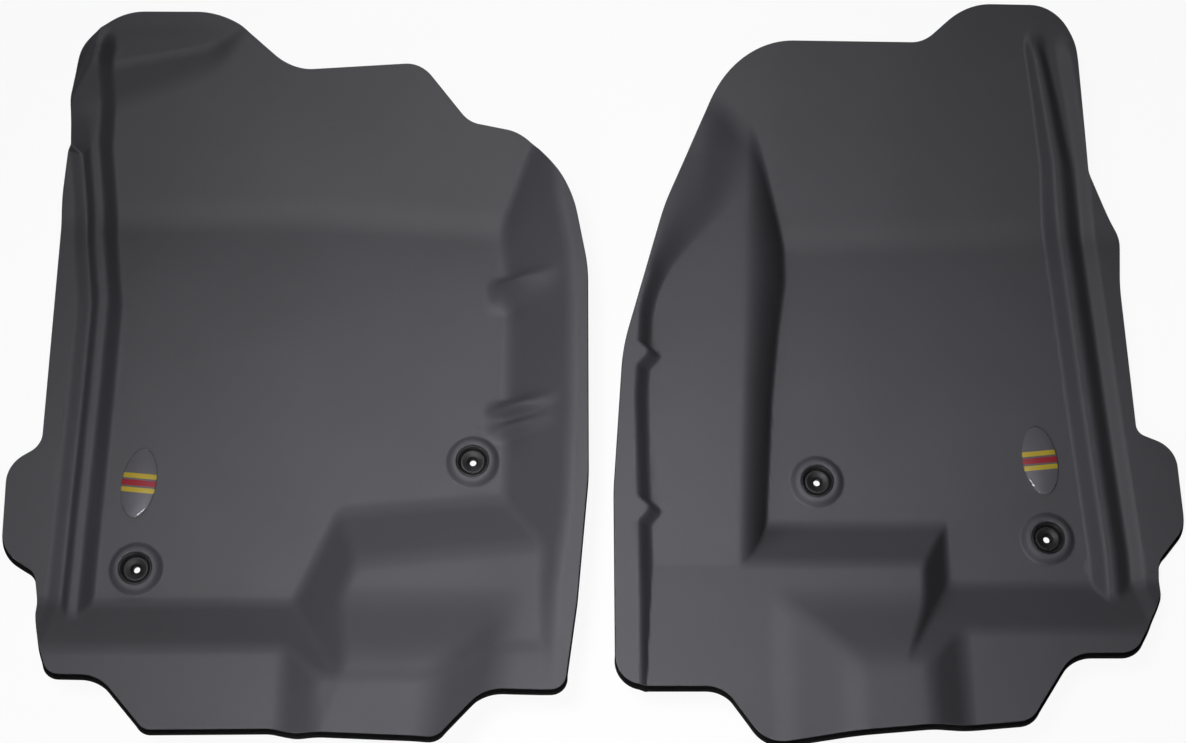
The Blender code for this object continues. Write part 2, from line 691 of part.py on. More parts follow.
def add_badge(liner, place, parts):
    """Oval plate with its dome, leaning with the sill."""
    oval = Matrix.Diagonal((BADGE_WIDTH / 2, BADGE_LENGTH / 2, 1.0, 1.0))
    plate = bmesh.new()
    bmesh.ops.create_cone(
        plate, cap_ends=True, segments=ROUND_SEGMENTS, radius1=1.0, radius2=1.0, depth=PLATE_THICKNESS,
        matrix=oval @ Matrix.Translation((0.0, 0.0, PLATE_BOTTOM + PLATE_THICKNESS / 2)))
    dome = bmesh.new()
    bmesh.ops.create_cone(
        dome, cap_ends=True, segments=ROUND_SEGMENTS, radius1=1.0, radius2=1.0, depth=DOME_EDGE,
        matrix=Matrix.Translation((0.0, 0.0, DOME_BOTTOM + DOME_EDGE / 2)))
    top = [face for face in dome.faces if face.normal.z > 0.5]
    for step in range(1, DOME_STEPS):
        rise = math.sin(math.pi / 2 * step / DOME_STEPS)
        spread = math.cos(math.pi / 2 * step / DOME_STEPS)
        inset = bmesh.ops.extrude_face_region(dome, geom=top)
        bmesh.ops.delete(dome, geom=top, context="FACES_ONLY")
        top = [item for item in inset["geom"] if isinstance(item, bmesh.types.BMFace)]
        for vert in top[0].verts:
            flat = Vector((vert.co.x, vert.co.y)).normalized() * spread
            vert.co = (flat.x, flat.y, DOME_BOTTOM + DOME_EDGE + (DOME_HEIGHT - DOME_EDGE) * rise)
    bmesh.ops.transform(dome, matrix=oval, verts=dome.verts)
    for ending, bm, finish in (("plate", plate, PRINT), ("dome", dome, RESIN)):
        name = f"{liner.name}_badge_{ending}"
        item = add_object(name, mesh_from(bm, name), parts, finish, place)
        item.rotation_euler.z = -liner.hand * math.radians(BADGE_LEAN_DEG)


def add_liner(liner, parts, cutters):
    blank = make_blank(liner, cutters)
    trim = add_trim(liner, cutters)
    skin_depth = FLOOR_TOP - SKIN_BOTTOM
    skin = add_sheet(liner, liner.name + "_mat_skin", blank, 0.0, skin_depth, parts, RUBBER)
    backing_depth = FLOOR_TOP - BACKING_TOP
    backing = add_sheet(liner, liner.name + "_mat_backing", blank, backing_depth, FLOOR_TOP, parts, FELT)
    bpy.data.meshes.remove(blank)
    combine(skin, trim, "INTERSECT")
    combine(backing, trim, "INTERSECT")
    for side, (u, v) in liner.grommets.items():
        place = liner.world(u, v)
        prefix = f"{liner.name}_{side}_"
        combine(skin, add_turned(prefix + "bead", bead_profile(), place, cutters), "UNION")
        hole = add_cylinder(
            prefix + "hole", HOLE_RADIUS, SKIN_BOTTOM - CUT_MARGIN, BEAD_TOP + CUT_MARGIN, place, cutters)
        combine(skin, hole, "DIFFERENCE")
        pocket = add_cylinder(
            prefix + "pocket", POCKET_RADIUS, -CUT_MARGIN, BACKING_TOP + CUT_MARGIN, place, cutters)
        combine(backing, pocket, "DIFFERENCE")
        add_grommet(liner, side, place, parts, cutters)
    add_badge(liner, liner.world(*liner.badge), parts)


def main():
    clear_scene()
    parts = make_collection(SET_NAME)
    cutters = make_collection(SET_NAME + "_cutters")
    for liner in make_liners():
        add_liner(liner, parts, cutters)
    for item in parts.objects:
        settle(item)


main()
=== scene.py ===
import math

import bmesh
import bpy
import numpy as np
from mathutils import Matrix, Vector
from mathutils.geometry import delaunay_2d_cdt, interpolate_bezier


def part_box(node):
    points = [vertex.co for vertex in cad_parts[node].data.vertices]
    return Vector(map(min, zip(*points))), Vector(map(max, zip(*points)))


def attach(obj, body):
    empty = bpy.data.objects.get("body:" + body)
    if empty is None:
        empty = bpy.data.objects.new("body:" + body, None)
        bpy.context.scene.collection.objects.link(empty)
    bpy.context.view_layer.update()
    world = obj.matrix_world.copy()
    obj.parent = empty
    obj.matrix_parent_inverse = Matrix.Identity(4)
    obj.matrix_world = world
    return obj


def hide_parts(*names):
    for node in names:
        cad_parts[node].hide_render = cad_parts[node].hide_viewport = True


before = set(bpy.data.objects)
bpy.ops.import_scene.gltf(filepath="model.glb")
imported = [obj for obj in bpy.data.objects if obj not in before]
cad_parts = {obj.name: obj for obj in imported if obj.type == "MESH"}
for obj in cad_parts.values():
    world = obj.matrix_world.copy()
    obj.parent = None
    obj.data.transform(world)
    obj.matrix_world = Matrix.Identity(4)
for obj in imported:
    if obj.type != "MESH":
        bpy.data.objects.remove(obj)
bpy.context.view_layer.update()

# Sizes are millimetres and become metres when a mesh is made. Every liner has its own plan axes:
# u runs from the sill rib towards the tunnel, v from the foot of the rear step towards the toe board.
MM = 0.001

# Layers of the sheet
SKIN_THICKNESS = 1.8
BACKING_THICKNESS = 7.0
FIT_GAP = 0.3
RIM_RADIUS = 0.8
RIM_ANGLES_DEG = (84, 62, 40, 20, 0)
BACKING_EDGE = ((0.1, 0.6), (0.5, 1.0), (0.9, 0.7))
EDGE_REACH = 0.6
REAR_FLARE = 4.8
STEEPEST_THICKENING = 1.8

# Flat floors between the feet of the walls
DRIVER_FLOOR_WIDTH = 473.0
DRIVER_FLOOR_LENGTH = 463.0
PASSENGER_FLOOR_WIDTH = 346.0
PASSENGER_FLOOR_LENGTH = 420.0

# Moulded forms
TOE_SLOPE = 0.55
RIB_HEIGHT = 20.0
RIB_HALF_FOOT = 17.0
RIB_HALF_CREST = 5.9
DRIVER_SILL_FOOT = 17.0
PASSENGER_SILL_FOOT = 24.0
RIB_SLOPE = 1.8
RIB_BLEND = 5.0
RIB_FADE = 40.0
SILL_FLANGE_HEIGHT = 8.0
SILL_FLANGE_RUN = 18.0
REAR_STEP_HEIGHT = 58.0
REAR_STEP_SLOPE = 1.05
REAR_TILT = 0.1
BOX_FRONT_SLOPE = 0.78
UPPER_STEP_HEIGHT = 36.0
UPPER_STEP_SLOPE = 0.54
UPPER_SIDE_SLOPE = 0.9
UPPER_STEP_BLEND = 10.0
FORM_BLEND = 9.0
TOE_BLEND = 12.0
ARCH_FOOT_HEIGHT = 66.0
ARCH_HEIGHT = 108.0
ARCH_SLOPE = 1.5
ARCH_SIDE_SLOPE = 1.2
ARCH_OVERLAP = 2.0
TUNNEL_HEIGHT = 72.0
TUNNEL_PLEAT = 24.0
HUMP_HEIGHT = 57.0
HUMP_ROUNDING = 2.2
BOX_SIDE_RUN = 34.0
SHELF_BLEND = 1.0
CONSOLE_HEIGHT = 80.0
CONSOLE_RUN = 18.0
CONSOLE_CORNER_BLEND = 24.0
CONSOLE_PLEAT = 11.0

# Grommets
BEAD_HEIGHT = 7.0
BEAD_FOOT_RADIUS = 30.0
BEAD_CREST_RADIUS = 24.0
BEAD_INNER_RADIUS = 18.3
BEAD_CROWN = 3.0
BEAD_FILLET = 1.6
BEAD_LIP = 1.6
BEAD_RINGS = (
    33, 31.6, 31, 30.4, 29.8, 29.2, 28.4, 27, 25.6, 24.9, 24.2, 23.5, 22.8, 21.6, 20.4, 19.6, 19.0, 18.6,
    18.3, 18.1, 17)
BEAD_WALL_CLEARANCE = 9.0
WALL_STEP = 0.2
SEAT_HEIGHT = 3.2
PLUG_RADIUS = 13.8
PLUG_RUNNING_GAP = 0.5
PLUG_RECESS = 3.6
CUP_WALL = 1.2
CUP_LIP_OVERLAP = 2.5
CUP_LIP_BELOW_BEAD = 1.4
CUP_MOUTH_DEPTH = 3.0
BARB_HEIGHT = 1.2
BARB_REACH = 1.0
GROUND_CLEARANCE = 1.0
LOCK_RING_WIDTH = 6.0
LUG_SETBACK = 0.4
LUG_THICKNESS = 1.6
LUG_WIDTH = 6.0
LUG_END_CLEARANCE = 2.5
LEDGE_THICKNESS = 1.8
STEM_RADIUS = 8.4
STUD_HOLE_RADIUS = 3.8
FUNNEL_RADIUS = 6.4
FUNNEL_DEPTH = 5.0
DISH_DEPTH = 1.6
PLUG_RIM = 2.4
NOTCH_WIDTH = 2.6
NOTCH_DEPTH = 1.4

# Places of the grommets and badges as u and v
DRIVER_INBOARD_V = 163.0
DRIVER_OUTBOARD_U = 62.0
DRIVER_BADGE = (58.0, 138.0)
PASSENGER_INBOARD_V = 120.0
PASSENGER_OUTBOARD = (52.0, 54.0)
PASSENGER_BADGE = (54.0, 145.0)

# Badge
BADGE_LENGTH = 80.0
BADGE_WIDTH = 39.0
BADGE_LEAN_DEG = 5.5
PLATE_THICKNESS = 1.0
PLATE_ROUNDING = 0.3
DOME_HEIGHT = 2.2
DOME_EDGE = 0.6
DOME_FOOT_ROUNDING = 0.2
DOME_ROUNDING = 2.6
DOME_CROWN = 0.5

# Fineness
OUTLINE_STEP = 3.0
SKIN_CELLS = (8.0, 4.0, 2.0)
BACKING_CELLS = (10.0, 5.0)
DETAIL_LIMIT = 0.05
EDGE_MARGIN = 0.8
RING_SEGMENTS = 96
ARC_POINTS = 24
FILLET_POINTS = 5
DOME_STEPS = 8
ARC_SHARE = 0.48
SLOPE_SPAN = 0.4
MERGE_DISTANCE = 1e-4
SHARP_ANGLE_DEG = 40.0
LEAST_TURN_DEG = 1.0
BOX_ROUNDING = 0.25

# Levels above the ground, and radii that follow from the plug
SKIN_BOTTOM = BACKING_THICKNESS + FIT_GAP
FLOOR_TOP = SKIN_BOTTOM + SKIN_THICKNESS
BEAD_TOP = FLOOR_TOP + BEAD_HEIGHT
LIP_BOTTOM = FLOOR_TOP + SEAT_HEIGHT + FIT_GAP
LIP_TOP = BEAD_TOP - CUP_LIP_BELOW_BEAD
PLUG_TOP = LIP_TOP - PLUG_RECESS
STEM_BOTTOM = GROUND_CLEARANCE
LUG_BOTTOM = STEM_BOTTOM + LUG_SETBACK
LUG_TOP = LUG_BOTTOM + LUG_THICKNESS
LEDGE_BOTTOM = LUG_TOP + FIT_GAP
LEDGE_TOP = LEDGE_BOTTOM + LEDGE_THICKNESS
DISC_BOTTOM = LEDGE_TOP + FIT_GAP
BARB_TOP = GROUND_CLEARANCE + BARB_HEIGHT
RING_BOTTOM = BARB_TOP + FIT_GAP
RING_TOP = SKIN_BOTTOM - FIT_GAP
PLATE_BOTTOM = FLOOR_TOP + FIT_GAP
CUP_INNER_RADIUS = PLUG_RADIUS + PLUG_RUNNING_GAP
BARREL_RADIUS = CUP_INNER_RADIUS + CUP_WALL
HOLE_RADIUS = BARREL_RADIUS + FIT_GAP
LIP_RADIUS = BARREL_RADIUS + CUP_LIP_OVERLAP
MOUTH_RADIUS = LIP_RADIUS - CUP_WALL
LEDGE_RADIUS = STEM_RADIUS + PLUG_RUNNING_GAP
LUG_REACH = math.sqrt((CUP_INNER_RADIUS - LUG_END_CLEARANCE) ** 2 - (LUG_WIDTH / 2) ** 2)
RING_RADIUS = HOLE_RADIUS + LOCK_RING_WIDTH
POCKET_RADIUS = RING_RADIUS + FIT_GAP

# Colours as linear red, green and blue
RUBBER_DARK = (0.0560, 0.0545, 0.0650)
RUBBER_LIGHT = (0.0640, 0.0620, 0.0735)
FELT_DARK = (0.001, 0.001, 0.0012)
FELT_LIGHT = (0.004, 0.004, 0.0045)
NYLON_DARK = (0.007, 0.007, 0.008)
NYLON_LIGHT = (0.013, 0.013, 0.015)
BADGE_GREY = (0.185, 0.180, 0.190)
BADGE_YELLOW = (0.75, 0.58, 0.05)
BADGE_RED = (0.50, 0.03, 0.045)
BADGE_STRIPES = (
    (0.0, BADGE_GREY), (0.36, BADGE_YELLOW), (0.43, BADGE_GREY), (0.46, BADGE_RED), (0.54, BADGE_GREY),
    (0.57, BADGE_YELLOW), (0.64, BADGE_GREY))
FLOOR_DARK = (0.86, 0.86, 0.86)
FLOOR_LIGHT = (0.90, 0.90, 0.90)

# Studio, in metres and watts
FLOOR_SIZE = 9.0
FLOOR_GLOW = 0.93
WORLD_LIGHT = 0.03
LAMPS = (
    ("key_lamp", (-0.45, -0.3, 2.4), (0.03, -0.2, 0.0), 0.6, 52, 3.7),
    ("rear_lamp", (-0.4, -1.15, 1.05), (0.05, -0.1, 0.0), 0.8, 120, 3.2),
    ("front_lamp", (-0.55, 1.9, 0.8), (0.05, -0.1, 0.0), 0.8, 120, 3.2))

# View of the photograph
PHOTO_WIDTH = 1186
FOCAL_PIXELS = 2000.0
SENSOR_WIDTH = 36.0
VIEW_ELEVATION_DEG = 71.0
VIEW_DISTANCE = 2.3
VIEW_TARGET = (0.0, 0.0148, 0.009)
VIEW_REACH = 50.0


def smooth_max(first, second, blend):
    near = np.maximum(blend - np.abs(first - second), 0.0) / blend
    return np.maximum(first, second) + near * near * blend / 4


def smooth_min(first, second, blend):
    return -smooth_max(-first, -second, blend)


def smooth_step(value):
    share = np.clip(value, 0.0, 1.0)
    return share * share * (3 - 2 * share)


def block(*walls):
    """A raised block: the lowest of its walls and its top, with rounded edges."""
    height = walls[0]
    for wall in walls[1:]:
        height = smooth_min(height, wall, FORM_BLEND)
    return height


def raised(height, *forms):
    """A surface with forms rising out of it."""
    for form in forms:
        height = smooth_max(height, form, FORM_BLEND)
    return height


def moulding(toe, *forms):
    """The flat floor with the soft crease of the toe board, and every other form rising out of it."""
    return raised(smooth_max(0.0 * toe, toe, TOE_BLEND), *forms)


def beyond(u, v, start, end):
    """Distance to the left of the line from start to end."""
    along = np.subtract(end, start) / math.dist(start, end)
    return (v - start[1]) * along[0] - (u - start[0]) * along[1]


def line_at(place, *points):
    """The value of a broken line at a place along one axis. Its points are (value, place), places rising."""
    return np.interp(place, [point[1] for point in points], [point[0] for point in points])


def sill_rib(u, v, line, end, foot, size):
    """The rounded rib along the sill, which fades out at its toe end. Its foot on the sill side varies."""
    away = (u - line) / size
    inner = (RIB_HALF_FOOT - away) * RIB_SLOPE
    outer = (foot + away) * RIB_HEIGHT / (foot - RIB_HALF_CREST)
    crest = smooth_min(np.minimum(inner, outer), RIB_HEIGHT, RIB_BLEND)
    return size * smooth_max(crest, 0.0 * crest, RIB_BLEND) * smooth_step((end - v) / RIB_FADE)


def sill_flange(u, v, line, end, foot):
    """The low ledge outside the sill rib, which fades out with it."""
    away = (line - u - foot) / SILL_FLANGE_RUN
    return SILL_FLANGE_HEIGHT * smooth_step(away) * smooth_step((end - v) / RIB_FADE)


def rear_top(v, upper):
    return REAR_STEP_HEIGHT - REAR_TILT * v + upper


def upper_step(*walls):
    """The step on the rear plateau: the lowest of its walls and its top."""
    height = UPPER_STEP_HEIGHT + 0.0 * walls[0]
    for wall in walls:
        height = smooth_min(height, wall, UPPER_STEP_BLEND)
    return smooth_max(height, 0.0 * height, UPPER_STEP_BLEND)


def driver_rib(v):
    length = DRIVER_FLOOR_LENGTH
    return line_at(
        v, (0, 0), (2, 126), (4, 231), (5, length - 110), (-7, length - 26), (-11, length + 72),
        (1, length + 165))


def passenger_rib(v):
    length = PASSENGER_FLOOR_LENGTH
    return line_at(
        v, (-11, 34), (0, 208), (10, length - 27), (13, length + 13), (20, length + 71), (36, length + 139),
        (50, length + 193))


def pleat(place, middle, before, behind):
    """A fold across a wall: 1 on its line, falling to 0 on both sides."""
    away = place - middle
    return smooth_step(1 - np.where(away > 0, away / before, -away / behind))


def driver_pleats(u, v):
    """Folds that run up the tunnel wall from the floor."""
    width = DRIVER_FLOOR_WIDTH
    length = DRIVER_FLOOR_LENGTH
    fade = smooth_step((width + 66 - u) / 60)
    across = smooth_step((u - width + 30) / 36) * fade
    folds = pleat(v, length - 91, 17, 34) + pleat(v, 221, 17, 18) + pleat(v, 201, 12, 18) * 0.6
    return TUNNEL_PLEAT * folds * across


def driver_relief(u, v):
    width = DRIVER_FLOOR_WIDTH
    length = DRIVER_FLOOR_LENGTH
    rib = driver_rib(v)
    sill = line_at(v, (DRIVER_SILL_FOOT, length + 66), (90, length + 124))
    toe = (v - line_at(u, (length, 0), (length + 4, width / 2), (length - 14, width))) * TOE_SLOPE
    arch = block(
        ARCH_FOOT_HEIGHT + ARCH_SLOPE * beyond(u, v, (0, length + 114), (140, length + 143)),
        ARCH_FOOT_HEIGHT + ARCH_SLOPE * beyond(u, v, (140, length + 143), (190, length + 180)),
        ARCH_HEIGHT + ARCH_SIDE_SLOPE * np.minimum(u - rib + ARCH_OVERLAP, 0.0))
    foot = line_at(
        v, (width - 21, -100), (width - 17, 0), (width - 4, 98), (width, 216), (width, length - 100),
        (width - 11, length - 8), (width - 15, length + 60))
    edge = line_at(
        v, (width + 51, -100), (width + 55, 0), (width + 68, 98), (width + 72, 216),
        (width + 72, length - 131), (width + 69, length - 62), (width + 56, length),
        (width + 50, length + 60))
    tunnel = block((u - foot) * TUNNEL_HEIGHT / (edge - foot), TUNNEL_HEIGHT + 0.0 * u)
    upper = upper_step(
        (-9 - v) * UPPER_STEP_SLOPE,
        (u - width + 231) * UPPER_SIDE_SLOPE,
        beyond(u, v, (width - 10, -160), (width + 6, -30)) * UPPER_STEP_SLOPE)
    cross = block(-v * REAR_STEP_SLOPE, rear_top(v, upper))
    box = block(
        BOX_FRONT_SLOPE * beyond(u, v, (width, 119), (width - 186, 103)),
        REAR_STEP_SLOPE * beyond(u, v, (width - 187, 103), (width - 233, 0)),
        rear_top(v, upper))
    panel = raised(moulding(toe, tunnel), arch) + sill_rib(u, v, rib, length + 200, sill, 1.0)
    panel = panel + driver_pleats(u, v)
    return raised(panel, cross, box) + sill_flange(u, v, rib, length + 200, sill)


def passenger_relief(u, v):
    width = PASSENGER_FLOOR_WIDTH
    length = PASSENGER_FLOOR_LENGTH
    rib = passenger_rib(v)
    size = line_at(v, (1, length + 20), (0.6, length + 180))
    toe = (v - line_at(u, (length + 6, 0), (length - 6, width))) * TOE_SLOPE
    foot = line_at(
        v, (width + 22, 30), (width + 20, 75), (width + 10, 217), (width, length - 118),
        (width - 9, length - 60), (width - 9, length - 18), (width - 2, length + 70),
        (width + 2, length + 110))
    edge = line_at(
        v, (width + 57, 30), (width + 53, 139), (width + 44, length - 104), (width + 42, length - 18),
        (width + 36, length + 70), (width + 34, length + 110))
    wall = line_at(
        v, (width + 147, -30), (width + 151, 200), (width + 145, length - 122), (width + 132, length - 60),
        (width + 94, length + 30), (width + 54, length + 140))
    folds = pleat(v, length - 171, 15, 18) + pleat(v, 70, 15, 18)
    wall = wall - CONSOLE_PLEAT * folds
    corner = beyond(u, v, (width + 91, length - 27), (width + 136, length - 73))
    run = line_at(v, (CONSOLE_RUN, length - 80), (30, length - 40), (60, length + 20), (90, length + 70))
    rise = smooth_step(smooth_max(u - wall, corner, CONSOLE_CORNER_BLEND) / run)
    shelf = HUMP_HEIGHT + (CONSOLE_HEIGHT - HUMP_HEIGHT) * rise * smooth_step((u - width - 10) / 80)
    fall = np.maximum(edge - u, 0.0) / (edge - foot)
    hump = shelf * (1 - fall ** HUMP_ROUNDING)
    upper = upper_step(
        (-30 - v) * UPPER_STEP_SLOPE,
        (u - width + 179) * UPPER_SIDE_SLOPE,
        (width + 10 - u) * UPPER_STEP_SLOPE)
    box = block((68 - v) * REAR_STEP_SLOPE, (u - width + 179) * REAR_STEP_HEIGHT / BOX_SIDE_RUN)
    rear = block(raised(-v * REAR_STEP_SLOPE, box), rear_top(v, upper))
    panel = moulding(toe, hump) + sill_rib(u, v, rib, length + 214, PASSENGER_SILL_FOOT, size)
    # The rear box meets the shelf at nearly its height, so their blend narrows beyond the hump.
    blend = FORM_BLEND - (FORM_BLEND - SHELF_BLEND) * smooth_step((u - width - 20) / 40)
    return smooth_max(panel, rear, blend) + sill_flange(u, v, rib, length + 214, PASSENGER_SILL_FOOT)


def driver_corners():
    """Corners of the driver's outline as (u, v, radius), from the sill ear round by the toe."""
    width = DRIVER_FLOOR_WIDTH
    length = DRIVER_FLOOR_LENGTH
    return (
        (-40, -12, 60), (-48, 33, 20), (-88, 58, 45), (-91, 158, 36), (-54, 181, 24), (-55, length + 15, 150),
        (-16, length + 211, 80), (144, length + 211, 100), (219, length + 153, 70),
        (width - 103, length + 158, 40), (width - 48, length + 97, 35), (width + 21, length + 84, 60),
        (width + 73, length + 7, 150), (width + 91, length - 88, 200), (width + 92, 130, 300),
        (width + 80, -10, 300), (width + 67, -108, 16), (width - 17, -106, 45), (width - 65, -163, 18),
        (width - 211, -157, 50), (width - 240, -149, 50), (99, -150, 16), (46, -91, 45), (-9, -90, 18))


def passenger_corners():
    """Corners of the passenger's outline as (u, v, radius), from the sill ear round by the toe."""
    width = PASSENGER_FLOOR_WIDTH
    length = PASSENGER_FLOOR_LENGTH
    return (
        (-65, -10, 45), (-68, 27, 25), (-101, 66, 40), (-99, 158, 42), (-57, 176, 14),
        (-53, length - 66, 300), (-58, length - 6, 35), (-20, length + 64, 30), (7, length + 236, 57),
        (128, length + 237, 80), (177, length + 198, 40), (width + 52, length + 199, 105),
        (width + 132, length + 7, 300), (width + 180, length - 165, 250), (width + 191, 90, 300),
        (width + 190, -123, 30), (width + 76, -123, 36), (width + 33, -184, 38), (width - 20, -179, 200),
        (100, -160, 25), (50, -87, 40), (-17, -87, 26))


def rounded(corners):
    """The outline as evenly spaced points, with a tangent arc in place of every corner."""
    points = []
    for index, corner in enumerate(corners):
        tip = Vector(corner[:2])
        back = Vector(corners[index - 1][:2]) - tip
        ahead = Vector(corners[(index + 1) % len(corners)][:2]) - tip
        turn = math.pi - back.angle(ahead)
        setback = min(corner[2] * math.tan(turn / 2), ARC_SHARE * back.length, ARC_SHARE * ahead.length)
        start = tip + back.normalized() * setback
        end = tip + ahead.normalized() * setback
        handle = 4 / 3 * math.tan(turn / 4) / math.tan(turn / 2)
        knots = (start, start.lerp(tip, handle), end.lerp(tip, handle), end)
        points.extend(interpolate_bezier(*(knot.to_3d() for knot in knots), ARC_POINTS))
    loop = np.array([point[:2] for point in points])
    closed = np.vstack([loop, loop[:1]])
    run = np.concatenate([[0.0], np.cumsum(np.linalg.norm(np.diff(closed, axis=0), axis=1))])
    places = np.linspace(0.0, run[-1], int(run[-1] / OUTLINE_STEP), endpoint=False)
    return np.column_stack([np.interp(places, run, closed[:, axis]) for axis in (0, 1)])


def outward(loop):
    """Unit normals that point out of a closed loop."""
    along = np.roll(loop, -1, axis=0) - np.roll(loop, 1, axis=0)
    normal = np.column_stack([along[:, 1], -along[:, 0]])
    normal /= np.linalg.norm(normal, axis=1)[:, None]
    area = np.sum(loop[:, 0] * np.roll(loop[:, 1], -1) - loop[:, 1] * np.roll(loop[:, 0], -1))
    return normal if area > 0 else -normal


def inside(places, loop):
    """Whether places lie within a closed loop."""
    start = loop
    end = np.roll(loop, -1, axis=0)
    crossings = np.zeros(len(places), dtype=int)
    for (u0, v0), (u1, v1) in zip(start, end):
        if v0 == v1:
            continue
        spans = (places[:, 1] >= min(v0, v1)) & (places[:, 1] < max(v0, v1))
        at = u0 + (places[:, 1] - v0) * (u1 - u0) / (v1 - v0)
        crossings += spans & (at > places[:, 0])
    return crossings % 2 == 1


def ring(centre, radius, count=RING_SEGMENTS):
    angles = np.arange(count) * 2 * math.pi / count
    return np.column_stack([centre[0] + radius * np.cos(angles), centre[1] + radius * np.sin(angles)])


class Liner:
    """One liner: its plan in its own axes, and where those axes lie in the set."""

    def __init__(self, name, hand, corners, relief, grommets, badge):
        self.name = name
        self.hand = hand
        self.outline = rounded(corners)
        self.normals = outward(self.outline)
        self.relief = relief
        self.grommets = grommets
        self.badge = badge
        low, high = (np.array(corner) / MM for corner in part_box(name + "_mat_skin"))
        first = self.outline.min(axis=0)
        self.origin = np.array([low[0] - first[0] if hand > 0 else high[0] + first[0], low[1] - first[1]])

    def world(self, u, v):
        return self.origin[0] + self.hand * u, self.origin[1] + v

    def bead(self, u, v):
        """Height of the beads around the grommets."""
        total = np.zeros_like(u)
        flare = BEAD_FOOT_RADIUS - BEAD_CREST_RADIUS
        for centre in self.grommets.values():
            radius = np.hypot(u - centre[0], v - centre[1])
            slope = (BEAD_FOOT_RADIUS - radius) * BEAD_HEIGHT / flare
            bead = smooth_min(slope, BEAD_HEIGHT + 0.0 * radius, BEAD_CROWN)
            bead = smooth_max(bead, 0.0 * radius, BEAD_FILLET)
            lean = np.clip((BEAD_INNER_RADIUS + BEAD_LIP - radius) / BEAD_LIP, 0.0, 1.0)
            bead = bead - BEAD_LIP * (1 - np.sqrt(1 - lean * lean))
            bead = np.where(radius < BEAD_INNER_RADIUS - WALL_STEP / 2, SEAT_HEIGHT, bead)
            total = np.where(radius < BEAD_FOOT_RADIUS + BEAD_FILLET, bead, total)
        return total

    def surface(self, u, v, with_beads):
        height = FLOOR_TOP + self.relief(u, v)
        return height + self.bead(u, v) if with_beads else height

    def slopes(self, u, v, with_beads):
        half = SLOPE_SPAN / 2
        slope_u = self.surface(u + half, v, with_beads) - self.surface(u - half, v, with_beads)
        slope_v = self.surface(u, v + half, with_beads) - self.surface(u, v - half, with_beads)
        return slope_u / SLOPE_SPAN, slope_v / SLOPE_SPAN

    def grid(self, cells):
        """Places over the liner, close together only where the form bends."""
        low = self.outline.min(axis=0)
        high = self.outline.max(axis=0)
        found = []
        for level, cell in enumerate(cells):
            us = np.arange(math.floor(low[0] / cell), high[0] / cell)
            vs = np.arange(math.floor(low[1] / cell), high[1] / cell)
            column, row = (axis.ravel() for axis in np.meshgrid(us, vs))
            u = column * cell
            v = row * cell
            keep = np.ones(len(u), dtype=bool)
            if level:
                middle = self.relief(u, v)
                bend = np.zeros(len(u))
                for du, dv in ((cell, 0.0), (0.0, cell), (cell, cell), (cell, -cell)):
                    around = self.relief(u + du, v + dv) + self.relief(u - du, v - dv)
                    bend = np.maximum(bend, np.abs(around / 2 - middle))
                keep = (bend > DETAIL_LIMIT) & ((column % 2 == 1) | (row % 2 == 1))
            found.append(np.column_stack([u, v])[keep])
        return np.vstack(found)

    def plan(self, cells, insets, hole_radius, radii):
        """Flat triangulation: places, triangles, and the vertex loops of the edge and the holes."""
        loops = [self.outline - self.normals * inset for inset in insets]
        loops.extend(ring(centre, hole_radius) for centre in self.grommets.values())
        rings = [ring(centre, radius) for centre in self.grommets.values() for radius in radii]
        spots = self.grid(cells)
        spots = spots[inside(spots, self.outline - self.normals * (max(insets) + EDGE_MARGIN))]
        for centre in self.grommets.values():
            spots = spots[np.hypot(*(spots - centre).T) > max((hole_radius, *radii)) + EDGE_MARGIN]
        edges = []
        starts = []
        start = 0
        for loop in loops:
            count = len(loop)
            edges.extend((start + index, start + (index + 1) % count) for index in range(count))
            starts.append((start, count))
            start += count
        places = [Vector(place) for place in np.vstack(loops + rings + [spots])]
        made, _, faces, sources, *_ = delaunay_2d_cdt(places, edges, [], 0, MERGE_DISTANCE)
        made = np.array([tuple(place) for place in made])
        faces = np.array(faces)
        middles = made[faces].mean(axis=1)
        keep = inside(middles, self.outline)
        for centre in self.grommets.values():
            keep &= np.hypot(*(middles - centre).T) > hole_radius
        found = np.full(len(places), -1)
        for index, ids in enumerate(sources):
            found[ids] = index
        rims = [found[begin:begin + count] for begin, count in starts]
        return made, faces[keep], rims[:len(insets)], rims[len(insets):]


class Sheet:
    """Points, faces and corner normals of a closed sheet, gathered for one mesh."""

    def __init__(self):
        self.points = []
        self.faces = []
        self.normals = []
        self.count = 0

    def add_points(self, places):
        self.points.append(places)
        first = self.count
        self.count += len(places)
        return first + np.arange(len(places))

    def add_faces(self, faces, normals):
        """Faces as vertex numbers, with a normal for each corner."""
        self.faces.append(faces)
        self.normals.append(normals.reshape(-1, 3))

    def add_wall(self, rows, normals, flip):
        """Quads between closed rows of vertices, each row with its own normals."""
        for upper, lower, first, second in zip(rows, rows[1:], normals, normals[1:]):
            quads = np.column_stack([upper, lower, np.roll(lower, -1), np.roll(upper, -1)])
            around = np.stack(
                [first, second, np.roll(second, -1, axis=0), np.roll(first, -1, axis=0)], axis=1)
            if flip:
                quads = quads[:, ::-1]
                around = around[:, ::-1]
            self.add_faces(quads, around)

    def mesh(self, name):
        mesh = bpy.data.meshes.new(name)
        faces = [tuple(face) for group in self.faces for face in group.tolist()]
        mesh.from_pydata((np.vstack(self.points) * MM).tolist(), [], faces)
        mesh.shade_smooth()
        normals = np.vstack(self.normals)
        normals /= np.linalg.norm(normals, axis=1)[:, None]
        mesh.normals_split_custom_set(normals.tolist())
        return mesh


def flat_normals(loop_normals, tilt=0.0):
    return np.column_stack([loop_normals, np.full(len(loop_normals), tilt)])


